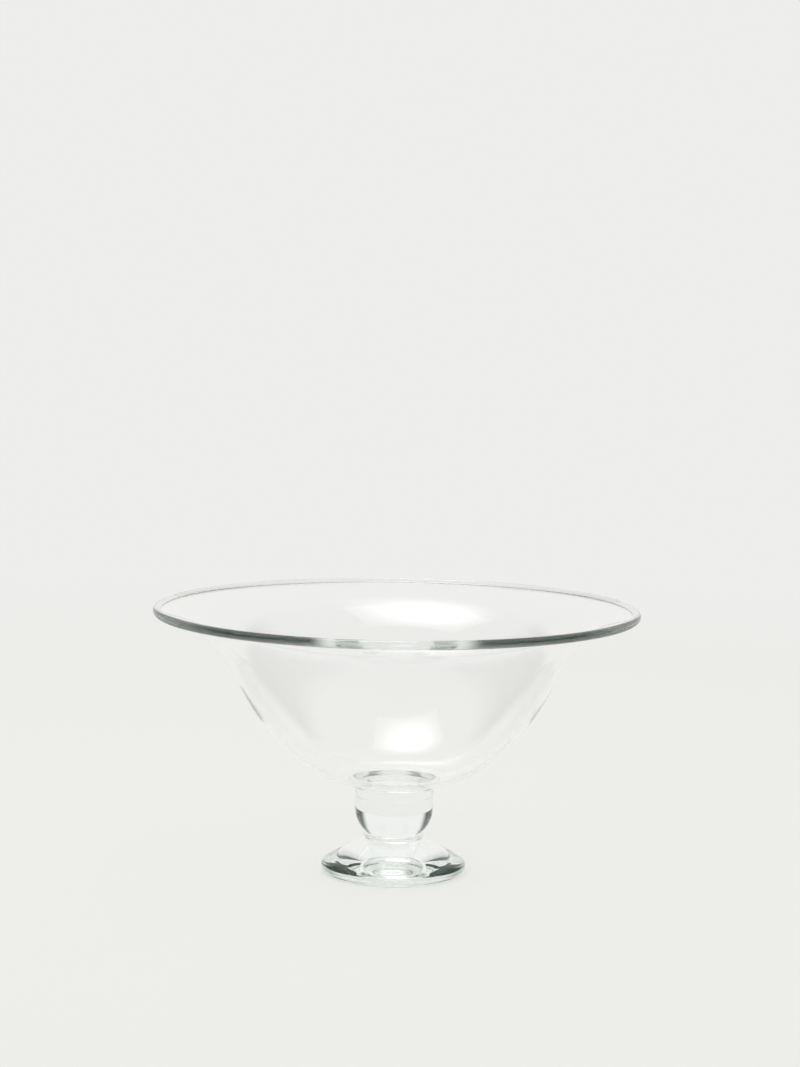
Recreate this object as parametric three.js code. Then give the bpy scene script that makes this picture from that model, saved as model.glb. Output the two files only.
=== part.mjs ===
// Footed fruit bowl of clear hot-worked glass.
// Units are millimetres and +Z is up. The origin is the centre of the circle that the foot stands on.
// The pieces are stacked along Z and joined face to face:
// foot, lower collar, knop, upper collar, bowl and rim bead.

import * as THREE from 'three';

// Bowl: a cup that narrows its rise at a waist and turns out into a wide lip.
const RIM_DIAMETER = 280; // across the outside of the rim bead
const BOWL_HEIGHT = 102.6; // from the seat on the upper collar to the top of the rim bead
const BOWL_SEAT_DIAMETER = 50; // flat underside that meets the upper collar
const WAIST_DIAMETER = 186; // outside of the wall where the cup turns into the lip
const WAIST_HEIGHT = 63; // above the bowl's seat
const WALL_THICKNESS = 2.8; // of the upper cup and the lip
const BELLY_THICKNESS = 3; // of the lower cup
const THINNING_START = 61.5; // length along the wall from the seat to where the belly is drawn thinner
const THINNING_END = 91; // length from the seat to where the wall is even again
const UNDERSIDE_RISE = THREE.MathUtils.degToRad(4); // heading of the wall as it leaves the seat
const WAIST_RISE = THREE.MathUtils.degToRad(66); // heading of the wall at the waist
const LIP_RISE = THREE.MathUtils.degToRad(19); // heading of the wall as it meets the rim bead
const CUP_PULLS = [0.34, 0.29]; // how far the cup's ends hold their headings, in chord lengths
const LIP_PULLS = [0.38, 0.33];

// Rim bead: a round bead with a flat seat on the edge of the wall.
const RIM_BEAD_DIAMETER = 5;

// Upper collar: a short neck with a rounded lower edge that flares out under the bowl.
const UPPER_COLLAR_HEIGHT = 7.4;
const UPPER_COLLAR_EDGE_HEIGHT = 2.2; // of the rounded lower edge
const UPPER_COLLAR_EDGE_DIAMETER = 45.2; // between the rounded lower edge and the flare
const UPPER_COLLAR_FLARE_HEIGHT = 3.2;

// Knop: a ball, flattened where it meets the collars.
const KNOP_HEIGHT = 21.6;
const KNOP_DIAMETER = 45.2;
const KNOP_WIDEST_HEIGHT = 15.2; // above the knop's lower face
const KNOP_TOP_DIAMETER = 44.8;
const KNOP_BOTTOM_DIAMETER = 31.6;
const KNOP_BOTTOM_RISE = THREE.MathUtils.degToRad(40); // heading of the ball as it leaves the lower collar
const KNOP_LOWER_PULLS = [0.36, 0.42];
const KNOP_UPPER_PULLS = [0.4, 0.4];

// Lower collar: a thin ring with a rounded edge.
const LOWER_COLLAR_HEIGHT = 3.6;
const LOWER_COLLAR_DIAMETER = 34.4;
const LOWER_COLLAR_ROUNDING = 1.2; // of the edge, in from the widest line

// Foot: a domed disc with a rounded side, on a flat ring around a hollow underside.
const FOOT_HEIGHT = 19.8;
const FOOT_DIAMETER = 83.6;
const FOOT_WIDEST_HEIGHT = 4.7;
const FOOT_TOP_DIAMETER = 35.2;
const FOOT_TOP_FALL = THREE.MathUtils.degToRad(32); // slope of the dome below the lower collar
const FOOT_DOME_PULLS = [0.12, 0.55];
const REST_RING_DIAMETER = 76; // outside of the flat ring that the foot stands on
const HOLLOW_DIAMETER = 57.6; // inside of that ring
const HOLLOW_DEPTH = 2.3; // on the axis
const HOLLOW_POWER = 2.1; // 2 is an even dish, more is flatter in the middle

// Facets
const BOWL_FACETS = 72; // round the bowl and its rim bead, which share their joint
const STEM_FACETS = 48;
const CUP_STEPS = 11;
const LIP_STEPS = 7;
const BEAD_STEPS = 9;
const ROUND_STEPS = 4;
const CURVE_STEPS = 6;

const heading = (angle) => new THREE.Vector2(Math.cos(angle), Math.sin(angle));
const leftOf = (direction) => new THREE.Vector2(-direction.y, direction.x);
const along = (start, direction, distance) => start.clone().addScaledVector(direction, distance);

// A curve that leaves one point and reaches another with the given headings.
function sweep(start, startHeading, end, endHeading, pulls) {
  const chord = start.distanceTo(end);
  const startPull = along(start, startHeading, pulls[0] * chord);
  const endPull = along(end, endHeading, -pulls[1] * chord);
  return new THREE.CubicBezierCurve(start, startPull, endPull, end);
}

// Points along an ellipse from one angle to another.
function ellipsePoints(centreX, centreY, radiusX, radiusY, startAngle, endAngle, steps) {
  const clockwise = endAngle < startAngle;
  const arc = new THREE.EllipseCurve(centreX, centreY, radiusX, radiusY, startAngle, endAngle, clockwise);
  return arc.getPoints(steps);
}

// A profile in (radius, height), turned round the Z axis.
function turned(profile, facets) {
  return new THREE.LatheGeometry(profile, facets).rotateX(Math.PI / 2);
}

// The wall of the bowl, in (radius, height above the bowl's seat).
const beadRadius = RIM_BEAD_DIAMETER / 2;
const beadCentre = new THREE.Vector2(RIM_DIAMETER / 2 - beadRadius, BOWL_HEIGHT - beadRadius);
const lipHeading = heading(LIP_RISE);
const beadSeatReach = Math.sqrt(beadRadius ** 2 - (WALL_THICKNESS / 2) ** 2);
const beadSeatMiddle = along(beadCentre, lipHeading, -beadSeatReach);
const beadSeatUnder = along(beadSeatMiddle, leftOf(lipHeading), -WALL_THICKNESS / 2);
const beadSeatUpper = along(beadSeatMiddle, leftOf(lipHeading), WALL_THICKNESS / 2);
const seatEdge = new THREE.Vector2(BOWL_SEAT_DIAMETER / 2, 0);
const waist = new THREE.Vector2(WAIST_DIAMETER / 2, WAIST_HEIGHT);
const cup = sweep(seatEdge, heading(UNDERSIDE_RISE), waist, heading(WAIST_RISE), CUP_PULLS);
const lip = sweep(waist, heading(WAIST_RISE), beadSeatUnder, lipHeading, LIP_PULLS);

// The floor dips from its edge over the seat to the axis, so it is thinnest there.
const floorDip = (BOWL_SEAT_DIAMETER / 2) * Math.tan(UNDERSIDE_RISE) / 2;

function wallThickness(distance) {
  const thinned = THREE.MathUtils.smoothstep(distance, THINNING_START, THINNING_END);
  return THREE.MathUtils.lerp(BELLY_THICKNESS, WALL_THICKNESS, thinned);
}

function bowlProfile() {
  const outside = [];
  const inside = [];
  for (let step = 0; step <= CUP_STEPS; step++) {
    const point = cup.getPointAt(step / CUP_STEPS);
    const direction = cup.getTangentAt(step / CUP_STEPS);
    const thickness = wallThickness(cup.getLength() * step / CUP_STEPS);
    outside.push(point);
    inside.push(along(point, leftOf(direction), thickness));
  }
  for (let step = 1; step < LIP_STEPS; step++) {
    const point = lip.getPointAt(step / LIP_STEPS);
    const direction = lip.getTangentAt(step / LIP_STEPS);
    outside.push(point);
    inside.push(along(point, leftOf(direction), WALL_THICKNESS));
  }
  outside.push(beadSeatUnder);
  inside.push(beadSeatUpper);
  const seatCentre = new THREE.Vector2(0, 0);
  const floorCentre = new THREE.Vector2(0, BELLY_THICKNESS - floorDip);
  return [seatCentre, ...outside, ...inside.reverse(), floorCentre];
}

function rimBeadProfile() {
  const halfSeat = Math.asin(WALL_THICKNESS / RIM_BEAD_DIAMETER);
  const under = LIP_RISE + Math.PI + halfSeat;
  const upper = LIP_RISE + 3 * Math.PI - halfSeat;
  const round = ellipsePoints(beadCentre.x, beadCentre.y, beadRadius, beadRadius, under, upper, BEAD_STEPS);
  return [beadSeatUnder, ...round.slice(1, -1), beadSeatUpper, beadSeatUnder];
}

function upperCollarProfile() {
  const bottomRadius = KNOP_TOP_DIAMETER / 2;
  const edgeRadius = UPPER_COLLAR_EDGE_DIAMETER / 2;
  const edge = ellipsePoints(
    bottomRadius, UPPER_COLLAR_EDGE_HEIGHT,
    edgeRadius - bottomRadius, UPPER_COLLAR_EDGE_HEIGHT,
    -Math.PI / 2, 0, ROUND_STEPS,
  );
  const topRadius = BOWL_SEAT_DIAMETER / 2;
  const flare = ellipsePoints(
    topRadius, UPPER_COLLAR_HEIGHT - UPPER_COLLAR_FLARE_HEIGHT,
    topRadius - edgeRadius, UPPER_COLLAR_FLARE_HEIGHT,
    Math.PI, Math.PI / 2, ROUND_STEPS,
  );
  return [
    new THREE.Vector2(0, 0),
    ...edge,
    ...flare,
    new THREE.Vector2(0, UPPER_COLLAR_HEIGHT),
  ];
}

function knopProfile() {
  const bottom = new THREE.Vector2(KNOP_BOTTOM_DIAMETER / 2, 0);
  const widest = new THREE.Vector2(KNOP_DIAMETER / 2, KNOP_WIDEST_HEIGHT);
  const top = new THREE.Vector2(KNOP_TOP_DIAMETER / 2, KNOP_HEIGHT);
  const upright = heading(Math.PI / 2);
  const topHeading = top.clone().sub(widest).normalize();
  const lower = sweep(bottom, heading(KNOP_BOTTOM_RISE), widest, upright, KNOP_LOWER_PULLS);
  const upper = sweep(widest, upright, top, topHeading, KNOP_UPPER_PULLS);
  return [
    new THREE.Vector2(0, 0),
    ...lower.getPoints(CURVE_STEPS),
    ...upper.getPoints(ROUND_STEPS).slice(1),
    new THREE.Vector2(0, KNOP_HEIGHT),
  ];
}

function lowerCollarProfile() {
  const edge = ellipsePoints(
    LOWER_COLLAR_DIAMETER / 2 - LOWER_COLLAR_ROUNDING, LOWER_COLLAR_HEIGHT / 2,
    LOWER_COLLAR_ROUNDING, LOWER_COLLAR_HEIGHT / 2,
    -Math.PI / 2, Math.PI / 2, CURVE_STEPS,
  );
  return [new THREE.Vector2(0, 0), ...edge, new THREE.Vector2(0, LOWER_COLLAR_HEIGHT)];
}

function footProfile() {
  const hollowRadius = HOLLOW_DIAMETER / 2;
  const hollow = [];
  for (let step = 0; step <= CURVE_STEPS; step++) {
    const share = step / CURVE_STEPS;
    const height = HOLLOW_DEPTH * (1 - share ** HOLLOW_POWER);
    hollow.push(new THREE.Vector2(hollowRadius * share, height));
  }
  const restRadius = REST_RING_DIAMETER / 2;
  const side = ellipsePoints(
    restRadius, FOOT_WIDEST_HEIGHT,
    FOOT_DIAMETER / 2 - restRadius, FOOT_WIDEST_HEIGHT,
    -Math.PI / 2, 0, ROUND_STEPS,
  );
  const widest = new THREE.Vector2(FOOT_DIAMETER / 2, FOOT_WIDEST_HEIGHT);
  const top = new THREE.Vector2(FOOT_TOP_DIAMETER / 2, FOOT_HEIGHT);
  const dome = sweep(widest, heading(Math.PI / 2), top, heading(Math.PI - FOOT_TOP_FALL), FOOT_DOME_PULLS);
  return [
    ...hollow,
    ...side,
    ...dome.getPoints(CURVE_STEPS).slice(1),
    new THREE.Vector2(0, FOOT_HEIGHT),
  ];
}

// Clear soda-lime glass, a little greener where it is thick.
function glass(colour, roughness, opacity) {
  return new THREE.MeshStandardMaterial({
    color: colour,
    roughness,
    metalness: 0,
    transparent: true,
    opacity,
  });
}

const fruitBowl = new THREE.Group();
let level = 0;

// Sets a piece on the one below it, and gives the level of its upper face to the next.
function stack(name, profile, height, material) {
  const piece = new THREE.Mesh(turned(profile, STEM_FACETS), material);
  piece.name = name;
  piece.position.z = level;
  fruitBowl.add(piece);
  level += height;
}

stack('foot', footProfile(), FOOT_HEIGHT, glass(0xdfeae6, 0.04, 0.45));
stack('lower_collar', lowerCollarProfile(), LOWER_COLLAR_HEIGHT, glass(0xeaf2ef, 0.04, 0.4));
stack('stem_knop', knopProfile(), KNOP_HEIGHT, glass(0xe4eeea, 0.03, 0.4));
stack('upper_collar', upperCollarProfile(), UPPER_COLLAR_HEIGHT, glass(0xeaf2ef, 0.04, 0.4));

const blownTop = new THREE.Group();
blownTop.position.z = level;
fruitBowl.add(blownTop);

const bowl = new THREE.Mesh(turned(bowlProfile(), BOWL_FACETS), glass(0xf2f7f5, 0.02, 0.25));
bowl.name = 'bowl';
blownTop.add(bowl);

const rimBead = new THREE.Mesh(turned(rimBeadProfile(), BOWL_FACETS), glass(0xb9cfc6, 0.03, 0.5));
rimBead.name = 'rim_bead';
blownTop.add(rimBead);

export default fruitBowl;
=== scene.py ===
"""Footed fruit bowl of clear hot-worked glass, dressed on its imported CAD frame.

Every piece of the bowl is turned round one axis, so each is modelled as a glass turner would draw it: an
outline is extruded point by point and spun into a closed body in the place of its CAD node. The pieces are
hot-joined on the real bowl, so the faces where they meet let light straight through.
"""

import logging
import math
from dataclasses import dataclass, field
from enum import Enum

import bpy
from mathutils import Matrix, Vector
from mathutils.geometry import interpolate_bezier


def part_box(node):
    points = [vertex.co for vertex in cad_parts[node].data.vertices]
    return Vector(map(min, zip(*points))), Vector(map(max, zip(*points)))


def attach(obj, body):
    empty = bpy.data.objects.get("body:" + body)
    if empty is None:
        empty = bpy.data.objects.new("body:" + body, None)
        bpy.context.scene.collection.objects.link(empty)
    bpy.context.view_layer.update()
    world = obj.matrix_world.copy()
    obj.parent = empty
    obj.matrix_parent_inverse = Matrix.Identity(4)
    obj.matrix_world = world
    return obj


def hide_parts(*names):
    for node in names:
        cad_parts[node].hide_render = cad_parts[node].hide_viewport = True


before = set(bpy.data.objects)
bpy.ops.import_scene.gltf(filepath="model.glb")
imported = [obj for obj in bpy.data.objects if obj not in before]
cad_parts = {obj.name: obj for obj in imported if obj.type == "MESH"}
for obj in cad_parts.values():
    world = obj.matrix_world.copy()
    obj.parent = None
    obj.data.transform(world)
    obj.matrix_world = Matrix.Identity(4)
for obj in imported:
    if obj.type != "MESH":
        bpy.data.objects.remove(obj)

LOG = logging.getLogger("fruit_bowl")

MM = 0.001  # a millimetre in metres
BODY = "root"

JOINT_ATTRIBUTE = "hot_joint"
JOINT_STEP_MM = 0.01  # each joined face stays back this far from its joint, so that a ray meets both in turn
JOINT_REACH_MM = 0.03  # a face this near a joint's line in the outline belongs to the joint
MERGE_MM = 0.004  # vertices nearer than this, on the axis or where the spin closes, become one
SMOOTH_BELOW = 30.0  # degrees between two faces up to which their edge is shaded smooth

WIDE_FACETS = 320  # steps round the bowl and its rim, which are wider than the other pieces
LIGHT_BOUNCES = 96
NO_BOUNCE = 0.5  # a diffuse depth below this is light that has met no matt surface
DENSITY_MARGIN = 1.25  # keeps every channel of an absorbing volume's colour above 0

Colour = tuple[float, float, float, float]
Outline = list[Vector]
Joint = tuple[Vector, Vector]


class Slot(Enum):
    """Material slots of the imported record."""

    BLOWN = "blown_glass"
    RIM = "rim_glass"
    STEM = "stem_glass"
    FOOT = "foot_glass"


def linear(hex_colour: str) -> Colour:
    """Turns an sRGB hex colour into the linear colour that shaders take.

    Args:
        hex_colour: Six hex digits after a hash sign.

    Returns:
        Linear red, green and blue, with an alpha of 1.
    """
    channels = [int(hex_colour[i : i + 2], 16) / 255 for i in (1, 3, 5)]
    return (*[c / 12.92 if c <= 0.04045 else ((c + 0.055) / 1.055) ** 2.4 for c in channels], 1.0)


def add_node(tree: bpy.types.NodeTree, kind: str, inputs: dict[str | int, object] | None = None,
             **settings: object) -> bpy.types.Node:
    """Adds a shader node, with its settings, and fills or links its inputs.

    Args:
        tree: The node tree that takes the node.
        kind: The node's type name.
        inputs: Values, or the sockets to link from, by the input's name or number.
        **settings: The node's own properties.

    Returns:
        The new node.
    """
    node = tree.nodes.new(kind)
    for name, value in settings.items():
        setattr(node, name, value)
    for key, value in (inputs or {}).items():
        if isinstance(value, bpy.types.NodeSocket):
            tree.links.new(value, node.inputs[key])
        else:
            node.inputs[key].default_value = value
    return node


def heading(degrees: float) -> Vector:
    """Gives the unit direction in (radius, height) that rises by this angle."""
    return Vector((math.cos(math.radians(degrees)), math.sin(math.radians(degrees))))


def left_of(direction: Vector) -> Vector:
    """Gives the direction a quarter turn to the left."""
    return Vector((-direction.y, direction.x))


def flat_face(radius: float, height: float) -> Joint:
    """Gives a level round face as a stretch of the outline, from the axis to its edge."""
    return Vector((0.0, height)), Vector((radius, height))


def sweep(start: Vector, leaving: Vector, end: Vector, arriving: Vector,
          pulls: tuple[float, float], steps: int) -> Outline:
    """Draws a curve that leaves one point and reaches another with the given headings.

    Args:
        start: First point.
        leaving: Unit heading at the first point.
        end: Last point.
        arriving: Unit heading at the last point.
        pulls: How far each end holds its heading, in chord lengths.
        steps: Number of steps along the curve.

    Returns:
        The curve's points, ends included.
    """
    chord = (end - start).length
    return interpolate_bezier(start, start + leaving * pulls[0] * chord,
                              end - arriving * pulls[1] * chord, end, steps + 1)


def arc(centre: Vector, radii: tuple[float, float], start: float, end: float, steps: int) -> Outline:
    """Draws part of an ellipse.

    Args:
        centre: Its centre.
        radii: Half its width and half its height.
        start: First angle, in degrees.
        end: Last angle, in degrees.
        steps: Number of steps along the arc.

    Returns:
        The arc's points, ends included.
    """
    angles = [math.radians(start + (end - start) * i / steps) for i in range(steps + 1)]
    return [centre + Vector((radii[0] * math.cos(a), radii[1] * math.sin(a))) for a in angles]


def smooth_step(value: float, low: float, high: float) -> float:
    """Rises smoothly from 0 at low to 1 at high."""
    share = min(1.0, max(0.0, (value - low) / (high - low)))
    return share * share * (3 - 2 * share)


def line_distance(point: Vector, line: Joint) -> float:
    """Measures how far a point of the outline's plane is from a straight stretch.

    Args:
        point: The point, as (radius, height).
        line: The stretch's two ends.

    Returns:
        The shortest distance.
    """
    start, end = line
    along = end - start
    share = min(1.0, max(0.0, (point - start).dot(along) / along.length_squared))
    return (point - start - along * share).length


@dataclass(frozen=True)
class GlassFinish:
    """Fire-polished soda-lime glass.

    Hot-worked glass is smooth but never flat: its skin keeps long, low waves from the blowing and finer
    ones from the tools, so reflections have soft, wandering edges. The iron in it shows as green where light
    goes a long way through it, and hardly at all through a thin wall.

    Attributes:
        name: The material's name.
        slot: The record's slot that it belongs to; not used.
        wave_mm: Length of the long waves in the skin.
        wave_height_mm: Height of the long waves.
        tool_mm: Length of the finer waves.
        tool_height_mm: Height of the finer waves.
        haze: Roughness where the skin is a little dull.
        haze_range: Levels of the long waves at which the skin starts to dull and is dullest.
        colour: Colour of the skin.
        depth_colour: Colour that is left after about depth_mm of glass.
        depth_mm: The length of glass that gives that colour.
        ior: Index of refraction.
    """

    name: str
    slot: Slot
    wave_mm: float
    wave_height_mm: float
    tool_mm: float
    tool_height_mm: float
    haze: float = 0.02
    haze_range: tuple[float, float] = (0.35, 0.75)
    colour: str = "#FFFFFF"
    depth_colour: str = "#F1F9F5"
    depth_mm: float = 200.0
    ior: float = 1.51

    def absorption(self) -> tuple[Colour, float]:
        """Works out what a volume takes from light to leave the depth colour.

        Returns:
            The volume's colour and its density for a metre.
        """
        taken = [-math.log(c) / (self.depth_mm * MM) for c in linear(self.depth_colour)[:3]]
        density = max(taken) * DENSITY_MARGIN
        return (*[1 - t / density for t in taken], 1.0), density

    def material(self) -> bpy.types.Material:
        """Makes the glass.

        Returns:
            A material whose faces marked as hot joints let light straight through.
        """
        made = bpy.data.materials.new(self.name)
        made.use_nodes = True
        tree = made.node_tree
        tree.nodes.clear()
        place = add_node(tree, "ShaderNodeTexCoord").outputs["Object"]
        waves = add_node(tree, "ShaderNodeTexNoise", {
            "Vector": place, "Scale": 1 / (self.wave_mm * MM), "Detail": 1.0, "Roughness": 0.4})
        tools = add_node(tree, "ShaderNodeTexNoise", {
            "Vector": place, "Scale": 1 / (self.tool_mm * MM), "Detail": 2.0, "Roughness": 0.5})
        long_bump = add_node(tree, "ShaderNodeBump", {
            "Strength": 1.0, "Distance": self.wave_height_mm * MM, "Height": waves.outputs["Fac"]})
        bump = add_node(tree, "ShaderNodeBump", {
            "Strength": 1.0, "Distance": self.tool_height_mm * MM, "Height": tools.outputs["Fac"],
            "Normal": long_bump.outputs["Normal"]})
        dull = add_node(tree, "ShaderNodeMapRange", {
            "Value": waves.outputs["Fac"], "From Min": self.haze_range[0], "From Max": self.haze_range[1],
            "To Min": 0.0, "To Max": self.haze})
        glass = add_node(tree, "ShaderNodeBsdfPrincipled", {
            "Base Color": linear(self.colour), "Metallic": 0.0, "IOR": self.ior,
            "Transmission Weight": 1.0, "Roughness": dull.outputs["Result"],
            "Normal": bump.outputs["Normal"]})
        through = add_node(tree, "ShaderNodeBsdfTransparent")
        joint = add_node(tree, "ShaderNodeAttribute", attribute_name=JOINT_ATTRIBUTE)
        surface = add_node(tree, "ShaderNodeMixShader", {
            0: joint.outputs["Fac"], 1: glass.outputs["BSDF"], 2: through.outputs["BSDF"]})
        colour, density = self.absorption()
        depth = add_node(tree, "ShaderNodeVolumeAbsorption", {"Color": colour, "Density": density})
        add_node(tree, "ShaderNodeOutputMaterial", {
            "Surface": surface.outputs["Shader"], "Volume": depth.outputs["Volume"]})
        return made


# A thin blown wall shows nearly no colour, and long waves make the reflections in it wander.
BLOWN_GLASS = GlassFinish("blown_soda_lime_glass", Slot.BLOWN, wave_mm=38.0, wave_height_mm=0.05,
                          tool_mm=9.0, tool_height_mm=0.002, depth_mm=1200.0)

# The fire leaves the thick rim the smoothest, and light that runs along in it turns grey-green.
RIM_GLASS = GlassFinish("fire_polished_rim_glass", Slot.RIM, wave_mm=30.0, wave_height_mm=0.012,
                        tool_mm=7.0, tool_height_mm=0.001, depth_colour="#D5DAD6", depth_mm=30.0)

# Solid gathers are clear lenses, with low waves that soften what they show.
STEM_GLASS = GlassFinish("solid_stem_glass", Slot.STEM, wave_mm=24.0, wave_height_mm=0.02,
                         tool_mm=6.0, tool_height_mm=0.002)

# The pressed foot was polished by the fire afterwards, so it is as clear as the stem.
FOOT_GLASS = GlassFinish("pressed_foot_glass", Slot.FOOT, wave_mm=24.0, wave_height_mm=0.02,
                         tool_mm=6.0, tool_height_mm=0.002)


@dataclass
class TurnedPiece:
    """A glass piece that is turned round the bowl's axis, in the place of one CAD node.

    Sizes of the pieces are in millimetres and angles in degrees.

    Attributes:
        name: The piece's name.
        node: The CAD node that it stands for.
        finish: Its glass.
        facets: Steps round the axis.
        low: The node's lowest level.
        high: The node's highest level.
        radius: The node's widest radius.
    """

    name: str
    node: str
    finish: GlassFinish
    facets: int = 256
    low: float = field(init=False)
    high: float = field(init=False)
    radius: float = field(init=False)

    def __post_init__(self) -> None:
        """Reads the node's levels and its widest radius from the frame."""
        lowest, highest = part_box(self.node)
        self.low = lowest.z / MM
        self.high = highest.z / MM
        self.radius = highest.x / MM

    def outline(self) -> Outline:
        """Draws the outline in (radius, height), from axis to axis or as a closed ring."""
        raise NotImplementedError

    def joints(self) -> list[Joint]:
        """Gives the straight stretches of the outline where the piece meets its neighbours."""
        raise NotImplementedError

    def floor_line(self) -> float:
        """Gives the height of the piece's lower joint face."""
        return self.low + JOINT_STEP_MM

    def top_line(self) -> float:
        """Gives the height of the piece's upper joint face."""
        return self.high - JOINT_STEP_MM

    def spin(self) -> bpy.types.Object:
        """Extrudes the outline from one vertex and spins it into a closed body.

        Returns:
            The turned object, with its place in its mesh.
        """
        points = [Vector((p.x * MM, 0.0, p.y * MM)) for p in self.outline()]
        bpy.ops.object.select_all(action="DESELECT")
        bpy.ops.mesh.primitive_plane_add(size=MM, location=(0.0, 0.0, 0.0))
        turned = bpy.context.object
        turned.name = turned.data.name = self.name
        bpy.ops.object.mode_set(mode="EDIT")
        # The plane is merged into the one vertex that the outline grows from.
        bpy.ops.mesh.merge(type="CENTER")
        bpy.ops.transform.translate(value=points[0])
        for start, end in zip(points, points[1:]):
            bpy.ops.mesh.extrude_vertices_move(TRANSFORM_OT_translate={"value": end - start})
        bpy.ops.mesh.select_all(action="SELECT")
        bpy.ops.mesh.spin(steps=self.facets, angle=math.tau, center=(0.0, 0.0, 0.0), axis=(0.0, 0.0, 1.0))
        bpy.ops.mesh.select_all(action="SELECT")
        bpy.ops.mesh.remove_doubles(threshold=MERGE_MM * MM)
        bpy.ops.mesh.normals_make_consistent(inside=False)
        bpy.ops.object.mode_set(mode="OBJECT")
        bpy.ops.object.shade_smooth_by_angle(angle=math.radians(SMOOTH_BELOW))
        return turned

    def mark_joints(self, turned: bpy.types.Object) -> int:
        """Marks the faces that are hot-joined to another piece.

        Args:
            turned: The piece's object.

        Returns:
            The number of faces marked.
        """
        joints = self.joints()
        marks = turned.data.attributes.new(JOINT_ATTRIBUTE, "FLOAT", "FACE")
        count = 0
        for face in turned.data.polygons:
            centre = Vector((math.hypot(face.center.x, face.center.y) / MM, face.center.z / MM))
            joined = any(line_distance(centre, joint) < JOINT_REACH_MM for joint in joints)
            marks.data[face.index].value = float(joined)
            count += joined
        return count

    def dress(self, turned: bpy.types.Object) -> None:
        """Gives the piece its glass and ties it to the frame.

        Args:
            turned: The piece's object.
        """
        turned.data.materials.append(self.finish.material())
        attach(turned, BODY)
        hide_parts(self.node)

    def build(self) -> bpy.types.Object:
        """Models and dresses the piece.

        Returns:
            The finished object.
        """
        turned = self.spin()
        joined = self.mark_joints(turned)
        self.dress(turned)
        LOG.info("%s: %d faces, %d of them joined", self.name, len(turned.data.polygons), joined)
        return turned


@dataclass
class RimBead(TurnedPiece):
    """The round bead on the lip, seated on the edge of the bowl's wall.

    Attributes:
        bead_radius: Radius of the bead's round section.
        wall_mm: Thickness of the bowl's wall at the seat.
        lip_rise: Angle at which the lip rises outwards to the bead.
        round_steps: Steps round the section.
    """

    bead_radius: float = 2.5
    wall_mm: float = 2.8
    lip_rise: float = 19.0
    round_steps: int = 56

    def centre(self) -> Vector:
        """Gives the middle of the bead's section."""
        return Vector((self.radius - self.bead_radius, self.high - self.bead_radius))

    def seat(self, shift: float) -> Joint:
        """Gives the flat seat of the bead, shifted along the lip.

        Args:
            shift: How far outwards the seat is shifted.

        Returns:
            The seat's lower and upper ends.
        """
        lip = heading(self.lip_rise)
        reach = math.sqrt(self.bead_radius**2 - (self.wall_mm / 2) ** 2)
        middle = self.centre() - lip * (reach - shift)
        half_wall = left_of(lip) * self.wall_mm / 2
        return middle - half_wall, middle + half_wall

    def outline(self) -> Outline:
        """Draws the bead's section, from the lower end of its seat round to the upper end and back.

        Returns:
            A closed ring of points.
        """
        half_seat = math.degrees(math.asin(self.wall_mm / 2 / self.bead_radius))
        seat_middle = self.lip_rise + 180
        section = arc(self.centre(), (self.bead_radius, self.bead_radius), seat_middle + half_seat,
                      seat_middle + 360 - half_seat, self.round_steps)
        under, upper = self.seat(JOINT_STEP_MM)
        return [under, *section[1:-1], upper, under]

    def joints(self) -> list[Joint]:
        """Gives the seat on the bowl's wall."""
        return [self.seat(JOINT_STEP_MM)]


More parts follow.
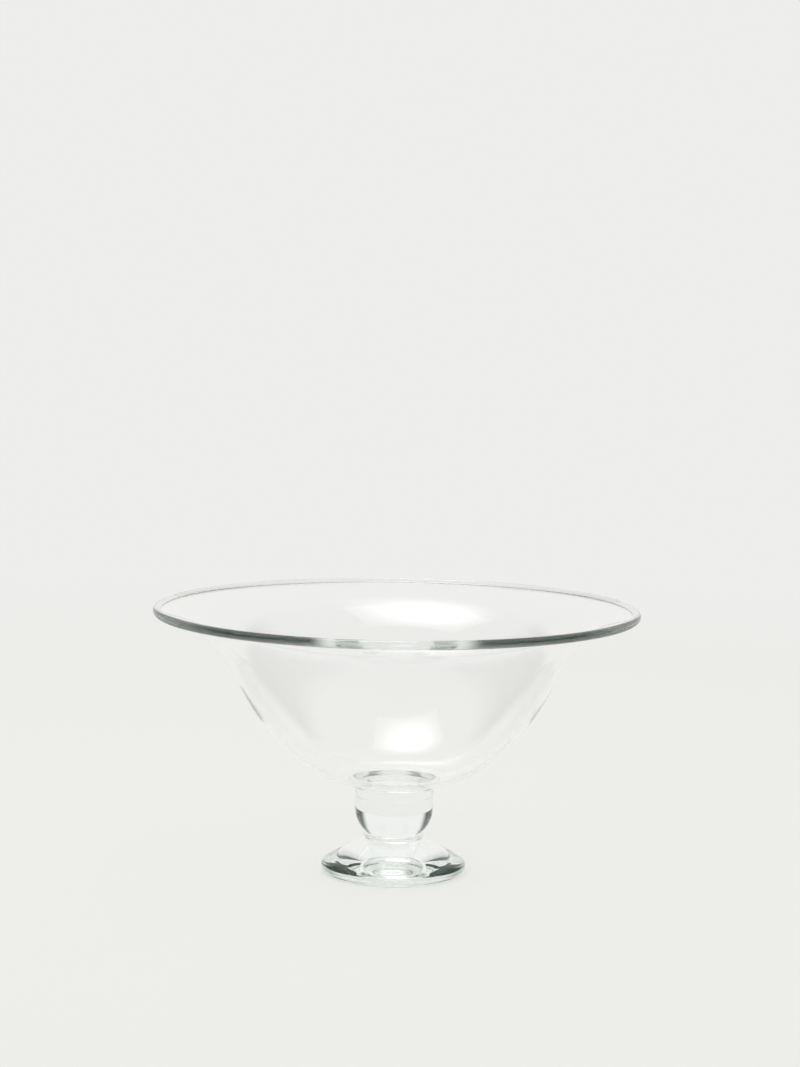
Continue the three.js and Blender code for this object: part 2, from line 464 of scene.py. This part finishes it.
@dataclass
class Bowl(TurnedPiece):
    """The blown cup that turns out into a wide lip, a little thicker in the belly than in the lip.

    Attributes:
        rim: The bead that the lip ends in.
        seat_radius: Radius of the flat seat on the upper collar.
        waist_radius: Outer radius where the cup turns out into the lip.
        waist_height: Height of that turn over the seat.
        belly_mm: Thickness of the wall in the belly.
        thinning_mm: Lengths along the outside, from the seat, between which the wall thins.
        underside_rise: Angle at which the outside leaves the seat.
        waist_rise: Angle of the outside where it turns out.
        cup_pulls: How far the cup's curve holds its end angles, in chord lengths.
        lip_pulls: How far the lip's curve holds its end angles, in chord lengths.
        cup_steps: Steps along the cup.
        lip_steps: Steps along the lip.
        floor_steps: Steps along the floor inside.
    """

    rim: RimBead = field(kw_only=True)
    seat_radius: float = 25.0
    waist_radius: float = 93.0
    waist_height: float = 63.0
    belly_mm: float = 3.0
    thinning_mm: tuple[float, float] = (61.5, 91.0)
    underside_rise: float = 4.0
    waist_rise: float = 66.0
    cup_pulls: tuple[float, float] = (0.34, 0.29)
    lip_pulls: tuple[float, float] = (0.38, 0.33)
    cup_steps: int = 46
    lip_steps: int = 34
    floor_steps: int = 10

    def collar_seat(self) -> Joint:
        """Gives the flat seat on the upper collar."""
        return flat_face(self.seat_radius, self.floor_line())

    def lip_edge(self) -> Joint:
        """Gives the edge of the wall under the rim bead."""
        return self.rim.seat(-JOINT_STEP_MM)

    def outer_wall(self) -> Outline:
        """Draws the outside of the wall.

        Returns:
            The points from the seat to the rim bead.
        """
        _, seat_edge = self.collar_seat()
        under, _ = self.lip_edge()
        waist = Vector((self.waist_radius, self.low + self.waist_height))
        cup = sweep(seat_edge, heading(self.underside_rise), waist, heading(self.waist_rise),
                    self.cup_pulls, self.cup_steps)
        lip = sweep(waist, heading(self.waist_rise), under, heading(self.rim.lip_rise),
                    self.lip_pulls, self.lip_steps)
        return cup + lip[1:]

    def thickness(self, travelled: float) -> float:
        """Gives the wall's thickness at a length from the seat: even over the belly, then drawn thinner."""
        start, end = self.thinning_mm
        return self.belly_mm + (self.rim.wall_mm - self.belly_mm) * smooth_step(travelled, start, end)

    def inner_wall(self, outer: Outline) -> Outline:
        """Offsets the outside of the wall by its thickness.

        Args:
            outer: The outside of the wall, from the seat up.

        Returns:
            The inside of the wall, from the floor's edge up.
        """
        inner = []
        travelled = 0.0
        for i, point in enumerate(outer):
            before, after = outer[max(i - 1, 0)], outer[min(i + 1, len(outer) - 1)]
            travelled += (point - before).length
            inner.append(point + left_of((after - before).normalized()) * self.thickness(travelled))
        _, inner[-1] = self.lip_edge()
        return inner

    def inner_floor(self, edge: Vector) -> Outline:
        """Draws the floor inside, which dips in a parabola that goes on from the wall.

        Args:
            edge: The lower end of the inner wall.

        Returns:
            The floor's points after the edge, in to the axis.
        """
        dip = self.seat_radius * math.tan(math.radians(self.underside_rise)) / 2
        centre_height = edge.y - dip
        shares = [1 - i / self.floor_steps for i in range(1, self.floor_steps + 1)]
        return [Vector((edge.x * s, centre_height + (edge.y - centre_height) * s * s)) for s in shares]

    def outline(self) -> Outline:
        """Draws the seat, the outside, the edge under the bead, the inside and the floor.

        Returns:
            The points from axis to axis.
        """
        seat_centre, _ = self.collar_seat()
        outer = self.outer_wall()
        inner = self.inner_wall(outer)
        return [seat_centre, *outer, *reversed(inner), *self.inner_floor(inner[0])]

    def joints(self) -> list[Joint]:
        """Gives the seat on the upper collar and the edge under the rim bead."""
        return [self.collar_seat(), self.lip_edge()]


@dataclass
class UpperCollar(TurnedPiece):
    """The low collar between the knop and the bowl, with a rounded lower edge and a flared top.

    Attributes:
        knop_radius: Radius of the face on the knop.
        edge_radius: Radius over the rounded lower edge.
        edge_height: Height of the rounded lower edge.
        flare_height: Height of the flare under the bowl.
        edge_steps: Steps round the lower edge.
        flare_steps: Steps along the flare.
    """

    knop_radius: float = 22.4
    edge_radius: float = 22.6
    edge_height: float = 2.2
    flare_height: float = 3.2
    edge_steps: int = 12
    flare_steps: int = 16

    def outline(self) -> Outline:
        """Draws the lower face, the rounded edge, the flare under the bowl and the upper face.

        Returns:
            The points from axis to axis.
        """
        low, high = self.floor_line(), self.top_line()
        edge = arc(Vector((self.knop_radius, low + self.edge_height)),
                   (self.edge_radius - self.knop_radius, self.edge_height), -90, 0, self.edge_steps)
        flare = arc(Vector((self.radius, high - self.flare_height)),
                    (self.radius - self.edge_radius, self.flare_height), 180, 90, self.flare_steps)
        return [Vector((0.0, low)), *edge, *flare, Vector((0.0, high))]

    def joints(self) -> list[Joint]:
        """Gives the faces on the knop and on the bowl."""
        return [flat_face(self.knop_radius, self.floor_line()), flat_face(self.radius, self.top_line())]


@dataclass
class StemKnop(TurnedPiece):
    """The solid ball of the stem, flattened where it meets the collars.

    Attributes:
        widest_height: Height of the ball's widest line over its lower face.
        top_radius: Radius of the face on the upper collar.
        bottom_radius: Radius of the face on the lower collar.
        bottom_rise: Angle at which the ball leaves its lower face.
        lower_pulls: How far the curve under the widest line holds its end angles, in chord lengths.
        upper_pulls: How far the curve over the widest line holds its end angles, in chord lengths.
        lower_steps: Steps under the widest line.
        upper_steps: Steps over the widest line.
    """

    widest_height: float = 15.2
    top_radius: float = 22.4
    bottom_radius: float = 15.8
    bottom_rise: float = 40.0
    lower_pulls: tuple[float, float] = (0.36, 0.42)
    upper_pulls: tuple[float, float] = (0.4, 0.4)
    lower_steps: int = 32
    upper_steps: int = 14

    def outline(self) -> Outline:
        """Draws the lower face, the ball and the upper face.

        Returns:
            The points from axis to axis.
        """
        bottom = Vector((self.bottom_radius, self.floor_line()))
        widest = Vector((self.radius, self.low + self.widest_height))
        top = Vector((self.top_radius, self.top_line()))
        lower = sweep(bottom, heading(self.bottom_rise), widest, heading(90),
                      self.lower_pulls, self.lower_steps)
        upper = sweep(widest, heading(90), top, (top - widest).normalized(),
                      self.upper_pulls, self.upper_steps)
        return [Vector((0.0, bottom.y)), *lower, *upper[1:], Vector((0.0, top.y))]

    def joints(self) -> list[Joint]:
        """Gives the faces on the two collars."""
        return [flat_face(self.bottom_radius, self.floor_line()),
                flat_face(self.top_radius, self.top_line())]


@dataclass
class LowerCollar(TurnedPiece):
    """The thin ring between the knop and the foot.

    Attributes:
        rounding: How far the rounded edge goes in from the ring's widest line.
        knop_radius: Radius of the face on the knop.
        edge_steps: Steps round the edge.
    """

    rounding: float = 1.2
    knop_radius: float = 15.8
    edge_steps: int = 24

    def outline(self) -> Outline:
        """Draws the lower face, the rounded edge and the upper face.

        Returns:
            The points from axis to axis.
        """
        low, high = self.floor_line(), self.top_line()
        middle = Vector((self.radius - self.rounding, (low + high) / 2))
        edge = arc(middle, (self.rounding, (high - low) / 2), -90, 90, self.edge_steps)
        return [Vector((0.0, low)), *edge, Vector((self.knop_radius, high)), Vector((0.0, high))]

    def joints(self) -> list[Joint]:
        """Gives the faces on the foot and on the knop."""
        return [flat_face(self.radius - self.rounding, self.floor_line()),
                flat_face(self.knop_radius, self.top_line())]


@dataclass
class Foot(TurnedPiece):
    """The solid domed foot, with a rounded side and a hollow underside.

    Attributes:
        widest_height: Height of the foot's widest line over the table.
        top_radius: Radius of the dome's upper end.
        collar_radius: Radius of the face under the lower collar.
        top_fall: Slope of the dome at its upper end.
        dome_pulls: How far the dome's curve holds its end angles, in chord lengths.
        rest_radius: Outer radius of the flat ring that it stands on.
        hollow_radius: Radius of the hollow underside.
        hollow_depth: Depth of the hollow at the axis.
        hollow_power: Power of the hollow's curve, where 2 is a parabola.
        edge_turn: Width of the narrow bands at both edges of the flat ring.
        hollow_steps: Steps along the hollow.
        side_steps: Steps round the side.
        dome_steps: Steps along the dome.
    """

    widest_height: float = 4.7
    top_radius: float = 17.6
    collar_radius: float = 16.0
    top_fall: float = 32.0
    dome_pulls: tuple[float, float] = (0.12, 0.55)
    rest_radius: float = 38.0
    hollow_radius: float = 28.8
    hollow_depth: float = 2.3
    hollow_power: float = 2.1
    edge_turn: float = 0.3
    hollow_steps: int = 28
    side_steps: int = 14
    dome_steps: int = 40

    def underside(self) -> Outline:
        """Draws the hollow and the flat ring that stands on the table.

        Returns:
            The points from the axis to the ring's outer band.
        """
        shares = [i / self.hollow_steps for i in range(self.hollow_steps + 1)]
        heights = [self.hollow_depth * (1 - s**self.hollow_power) for s in shares]
        hollow = [Vector((self.hollow_radius * s, height)) for s, height in zip(shares, heights)]
        ring_start = Vector((self.hollow_radius + self.edge_turn, 0.0))
        ring_end = Vector((self.rest_radius - self.edge_turn, 0.0))
        return [*hollow, ring_start, ring_end]

    def outline(self) -> Outline:
        """Draws the underside, the side, the dome and the upper face.

        Returns:
            The points from axis to axis.
        """
        side = arc(Vector((self.rest_radius, self.widest_height)),
                   (self.radius - self.rest_radius, self.widest_height), -90, 0, self.side_steps)
        top = Vector((self.top_radius, self.top_line()))
        dome = sweep(side[-1], heading(90), top, heading(180 - self.top_fall),
                     self.dome_pulls, self.dome_steps)
        upper_centre, upper_edge = flat_face(self.collar_radius, top.y)
        return [*self.underside(), *side, *dome[1:], upper_edge, upper_centre]

    def joints(self) -> list[Joint]:
        """Gives the face under the lower collar."""
        return [flat_face(self.collar_radius, self.top_line())]


@dataclass
class StudioFloor:
    """A long pale paper sheet that keeps the bowl's shadow and fades into the backdrop.

    Attributes:
        name: The floor's name.
        half_width_m: Half its width.
        half_length_m: Half its length, towards the backdrop and the camera.
        clearance_mm: Gap between the paper and the foot.
        colour: Colour of the paper.
        far_colour: The even tone that it turns into.
        fade_from_m: Distance from the bowl at which it starts to turn.
        fade_to_m: Distance from the bowl at which it has turned.
    """

    name: str = "studio_floor"
    half_width_m: float = 1.5
    half_length_m: float = 30.0
    clearance_mm: float = 0.1
    colour: str = "#ECECE9"
    far_colour: str = "#EEEEEC"
    fade_from_m: float = 0.7
    fade_to_m: float = 1.4

    def material(self) -> bpy.types.Material:
        """Makes matt pale paper that turns into the backdrop's even tone far from the bowl.

        Returns:
            The paper.
        """
        made = bpy.data.materials.new("matt_pale_paper")
        made.use_nodes = True
        tree = made.node_tree
        tree.nodes.clear()
        place = add_node(tree, "ShaderNodeTexCoord").outputs["Object"]
        distance = add_node(tree, "ShaderNodeVectorMath", {0: place}, operation="LENGTH")
        fade = add_node(tree, "ShaderNodeMapRange", {
            "Value": distance.outputs["Value"], "From Min": self.fade_from_m, "From Max": self.fade_to_m},
            interpolation_type="SMOOTHSTEP")
        paper = add_node(tree, "ShaderNodeBsdfDiffuse", {"Color": linear(self.colour)})
        backdrop = add_node(tree, "ShaderNodeEmission", {"Color": linear(self.far_colour), "Strength": 1.0})
        surface = add_node(tree, "ShaderNodeMixShader", {
            0: fade.outputs["Result"], 1: paper.outputs["BSDF"], 2: backdrop.outputs["Emission"]})
        add_node(tree, "ShaderNodeOutputMaterial", {"Surface": surface.outputs["Shader"]})
        return made

    def build(self) -> bpy.types.Object:
        """Lays the floor just under the foot.

        Returns:
            The floor.
        """
        bpy.ops.object.select_all(action="DESELECT")
        bpy.ops.mesh.primitive_plane_add(size=2.0, location=(0.0, 0.0, -self.clearance_mm * MM))
        floor = bpy.context.object
        floor.name = floor.data.name = self.name
        floor.scale = (self.half_width_m, self.half_length_m, 1.0)
        bpy.ops.object.transform_apply(location=False, rotation=False, scale=True)
        floor.data.materials.append(self.material())
        return floor


@dataclass
class Softbox:
    """The large soft light over the table, a little to the left.

    Attributes:
        name: The light's name.
        height_m: Its height over the table.
        centre_m: Its place over the table.
        half_size_m: Half its width and half its depth.
        strength: Its brightness in the middle.
    """

    name: str = "overhead_softbox"
    height_m: float = 1.6
    centre_m: tuple[float, float] = (-0.22, 0.20)
    half_size_m: tuple[float, float] = (0.60, 0.68)
    strength: float = 4.1

    def material(self) -> bpy.types.Material:
        """Makes a lit cloth that falls off towards its edges, and that the table doesn't see.

        Returns:
            The cloth.
        """
        made = bpy.data.materials.new("softbox_cloth")
        made.use_nodes = True
        tree = made.node_tree
        tree.nodes.clear()
        place = add_node(tree, "ShaderNodeTexCoord").outputs["Object"]
        axes = add_node(tree, "ShaderNodeSeparateXYZ", {0: place})
        path = add_node(tree, "ShaderNodeLightPath")
        lit = add_node(tree, "ShaderNodeMath", {0: path.outputs["Diffuse Depth"], 1: NO_BOUNCE},
                       operation="LESS_THAN").outputs[0]
        for axis, half in zip("XY", self.half_size_m):
            off = add_node(tree, "ShaderNodeMath", {0: axes.outputs[axis]}, operation="ABSOLUTE")
            edge = add_node(tree, "ShaderNodeMapRange", {
                "Value": off.outputs[0], "From Min": 0.0, "From Max": half,
                "To Min": 1.0, "To Max": 0.0}, interpolation_type="SMOOTHSTEP")
            lit = add_node(tree, "ShaderNodeMath", {0: lit, 1: edge.outputs["Result"]},
                           operation="MULTIPLY").outputs[0]
        clear = add_node(tree, "ShaderNodeBsdfTransparent")
        glow = add_node(tree, "ShaderNodeEmission", {"Strength": self.strength})
        surface = add_node(tree, "ShaderNodeMixShader", {
            0: lit, 1: clear.outputs["BSDF"], 2: glow.outputs["Emission"]})
        add_node(tree, "ShaderNodeOutputMaterial", {"Surface": surface.outputs["Shader"]})
        return made

    def build(self) -> bpy.types.Object:
        """Hangs the softbox over the table, out of the camera's sight.

        Returns:
            The lit panel.
        """
        bpy.ops.object.select_all(action="DESELECT")
        bpy.ops.mesh.primitive_plane_add(size=2.0, location=(*self.centre_m, self.height_m))
        panel = bpy.context.object
        panel.name = panel.data.name = self.name
        panel.scale = (*self.half_size_m, 1.0)
        bpy.ops.object.transform_apply(location=False, rotation=False, scale=True)
        panel.visible_camera = False
        panel.visible_diffuse = False
        panel.visible_shadow = False
        panel.data.materials.append(self.material())
        return panel


@dataclass
class TableLamp:
    """A weak wide lamp just under the softbox that lays the bowl's soft shadow on the table.

    Attributes:
        name: The lamp's name.
        place_m: Its place over the table.
        size_m: Its width and depth.
        power: Its power in watts.
    """

    name: str = "shadow_lamp"
    place_m: tuple[float, float, float] = (-0.20, 0.08, 1.55)
    size_m: tuple[float, float] = (1.0, 0.8)
    power: float = 2.0

    def build(self) -> bpy.types.Object:
        """Hangs the lamp, kept out of the reflections.

        Returns:
            The lamp.
        """
        light = bpy.data.lights.new(self.name, "AREA")
        light.shape = "RECTANGLE"
        light.size, light.size_y = self.size_m
        light.energy = self.power
        lamp = bpy.data.objects.new(self.name, light)
        lamp.location = self.place_m
        lamp.visible_camera = False
        lamp.visible_glossy = False
        bpy.context.scene.collection.objects.link(lamp)
        return lamp


@dataclass
class StudioWorld:
    """The room round the table.

    A tall pale backdrop stands behind the table, the ceiling and the front of the room are pale too, and
    only its two sides are dark. Light that the glass bends far to the side shows them, which draws the
    bowl's edges. Plain surfaces get an even white light.

    Attributes:
        pale: What the camera sees past the paper.
        backdrop: Colour of the backdrop in the glass.
        dark: Colour of the sides.
        front: Colour of the room behind the camera.
        ceiling: Colour of the ceiling.
        even_light: Colour of the light on plain surfaces.
        ambient: Strength of that light.
        front_edge: Angles from the backdrop's middle between which the sides turn into the front.
        ceiling_edge: Angles over the horizon between which the sides turn into the ceiling.
        backdrop_edge: Angles from the backdrop's middle between which the sides turn into the backdrop.
    """

    pale: str = "#EEEEEC"
    backdrop: str = "#F3F3F1"
    dark: str = "#0A281F"
    front: str = "#E0E0DE"
    ceiling: str = "#E4E5E3"
    even_light: str = "#FFFFFF"
    ambient: float = 0.95
    front_edge: tuple[float, float] = (120.0, 150.0)
    ceiling_edge: tuple[float, float] = (30.0, 48.0)
    backdrop_edge: tuple[float, float] = (49.0, 34.0)

    def room(self, tree: bpy.types.NodeTree) -> bpy.types.NodeSocket:
        """Draws the room by the angle from the backdrop's middle and by the height over the horizon.

        Args:
            tree: The world's node tree.

        Returns:
            The room's colour.
        """
        way = add_node(tree, "ShaderNodeTexCoord").outputs["Generated"]
        axes = add_node(tree, "ShaderNodeSeparateXYZ", {0: way}).outputs
        turn = add_node(tree, "ShaderNodeMath", {0: axes["X"], 1: axes["Y"]}, operation="ARCTAN2")
        aside = add_node(tree, "ShaderNodeMath", {0: turn.outputs[0]}, operation="ABSOLUTE").outputs[0]
        rise = add_node(tree, "ShaderNodeMath", {0: axes["Z"]}, operation="ARCSINE").outputs[0]
        walls = (
            (aside, self.front_edge, self.front),
            (rise, self.ceiling_edge, self.ceiling),
            (aside, self.backdrop_edge, self.backdrop),
        )
        colour = linear(self.dark)
        for angle, edge, wall in walls:
            share = add_node(tree, "ShaderNodeMapRange", {
                "Value": angle, "From Min": math.radians(edge[0]), "From Max": math.radians(edge[1])},
                interpolation_type="SMOOTHSTEP")
            # The colour inputs of a mix node share their names with its number inputs, so they go by place.
            blend = add_node(tree, "ShaderNodeMix", {
                "Factor": share.outputs["Result"], 6: colour, 7: linear(wall)}, data_type="RGBA")
            colour = blend.outputs[2]
        return colour

    def build(self) -> bpy.types.World:
        """Makes the world and sets it in the scene.

        Returns:
            The world.
        """
        world = bpy.data.worlds.new("studio_room")
        bpy.context.scene.world = world
        world.use_nodes = True
        tree = world.node_tree
        tree.nodes.clear()
        path = add_node(tree, "ShaderNodeLightPath").outputs
        bent = add_node(tree, "ShaderNodeMath", {
            0: path["Is Glossy Ray"], 1: path["Is Transmission Ray"]}, operation="MAXIMUM")
        clear_path = add_node(tree, "ShaderNodeMath", {0: path["Diffuse Depth"], 1: NO_BOUNCE},
                              operation="LESS_THAN")
        in_glass = add_node(tree, "ShaderNodeMath", {0: bent.outputs[0], 1: clear_path.outputs[0]},
                            operation="MULTIPLY")
        for_glass = add_node(tree, "ShaderNodeBackground", {"Color": self.room(tree), "Strength": 1.0})
        for_paper = add_node(tree, "ShaderNodeBackground", {
            "Color": linear(self.even_light), "Strength": self.ambient})
        for_camera = add_node(tree, "ShaderNodeBackground", {"Color": linear(self.pale), "Strength": 1.0})
        lighting = add_node(tree, "ShaderNodeMixShader", {
            0: in_glass.outputs[0], 1: for_paper.outputs[0], 2: for_glass.outputs[0]})
        shown = add_node(tree, "ShaderNodeMixShader", {
            0: path["Is Camera Ray"], 1: lighting.outputs[0], 2: for_camera.outputs[0]})
        add_node(tree, "ShaderNodeOutputWorld", {"Surface": shown.outputs[0]})
        return world


@dataclass
class StudioCamera:
    """The camera, in front of the bowl and a little above its rim.

    Attributes:
        name: The camera's name.
        place_mm: Its place.
        down: Angle by which it looks down.
        pan: Angle by which it is turned to the right.
        roll: Angle by which it is rolled to the left.
        focal_px: Its focal length in pixels of the photograph.
        frame_height_px: The photograph's height, the longer side, which the sensor's width is laid along.
        sensor_mm: The sensor's width.
    """

    name: str = "studio_camera"
    place_mm: tuple[float, float, float] = (0.0, -1523.0, 355.6)
    down: float = 5.94
    pan: float = 0.04
    roll: float = 0.87
    focal_px: float = 2669.0
    frame_height_px: int = 1067
    sensor_mm: float = 36.0

    def build(self) -> bpy.types.Object:
        """Makes the camera and sets it in the scene.

        Returns:
            The camera.
        """
        down, pan, roll = (math.radians(a) for a in (self.down, self.pan, self.roll))
        forward = Vector((math.sin(pan) * math.cos(down), math.cos(pan) * math.cos(down), -math.sin(down)))
        right = Vector((math.cos(pan), -math.sin(pan), 0.0))
        upright = right.cross(forward)
        across = right * math.cos(roll) + upright * math.sin(roll)
        up = upright * math.cos(roll) - right * math.sin(roll)
        lens = bpy.data.cameras.new(self.name)
        lens.sensor_width = self.sensor_mm
        lens.lens = self.focal_px * self.sensor_mm / self.frame_height_px
        camera = bpy.data.objects.new(self.name, lens)
        bpy.context.scene.collection.objects.link(camera)
        turn = Matrix((across, up, -forward)).transposed().to_4x4()
        camera.matrix_world = Matrix.Translation(Vector(self.place_mm) * MM) @ turn
        bpy.context.scene.camera = camera
        return camera


class FruitBowl:
    """The whole bowl, from the foot up."""

    def pieces(self) -> list[TurnedPiece]:
        """Gathers the pieces of the bowl.

        Returns:
            The pieces in the order in which they are stacked.
        """
        rim = RimBead("rim_bead_glass", "rim_bead", RIM_GLASS, facets=WIDE_FACETS)
        return [
            Foot("foot_glass", "foot", FOOT_GLASS),
            LowerCollar("lower_collar_glass", "lower_collar", STEM_GLASS),
            StemKnop("stem_knop_glass", "stem_knop", STEM_GLASS),
            UpperCollar("upper_collar_glass", "upper_collar", STEM_GLASS),
            Bowl("bowl_glass", "bowl", BLOWN_GLASS, facets=WIDE_FACETS, rim=rim),
            rim,
        ]

    def build(self) -> None:
        """Models and dresses every piece."""
        for piece in self.pieces():
            piece.build()


def set_light_paths() -> None:
    """Lets light go through all the walls of the bowl, and bend many times inside the rim and the foot."""
    cycles = bpy.context.scene.cycles
    cycles.max_bounces = LIGHT_BOUNCES
    cycles.transmission_bounces = LIGHT_BOUNCES
    cycles.glossy_bounces = LIGHT_BOUNCES
    cycles.transparent_max_bounces = LIGHT_BOUNCES
    cycles.blur_glossy = 0.0


def main() -> None:
    """Builds the bowl, the studio and the camera."""
    logging.basicConfig(level=logging.INFO, format="%(message)s")
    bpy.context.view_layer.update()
    StudioCamera().build()
    FruitBowl().build()
    StudioFloor().build()
    Softbox().build()
    TableLamp().build()
    StudioWorld().build()
    set_light_paths()
    bpy.context.scene.view_settings.view_transform = "Standard"


if __name__ == "__main__":
    main()
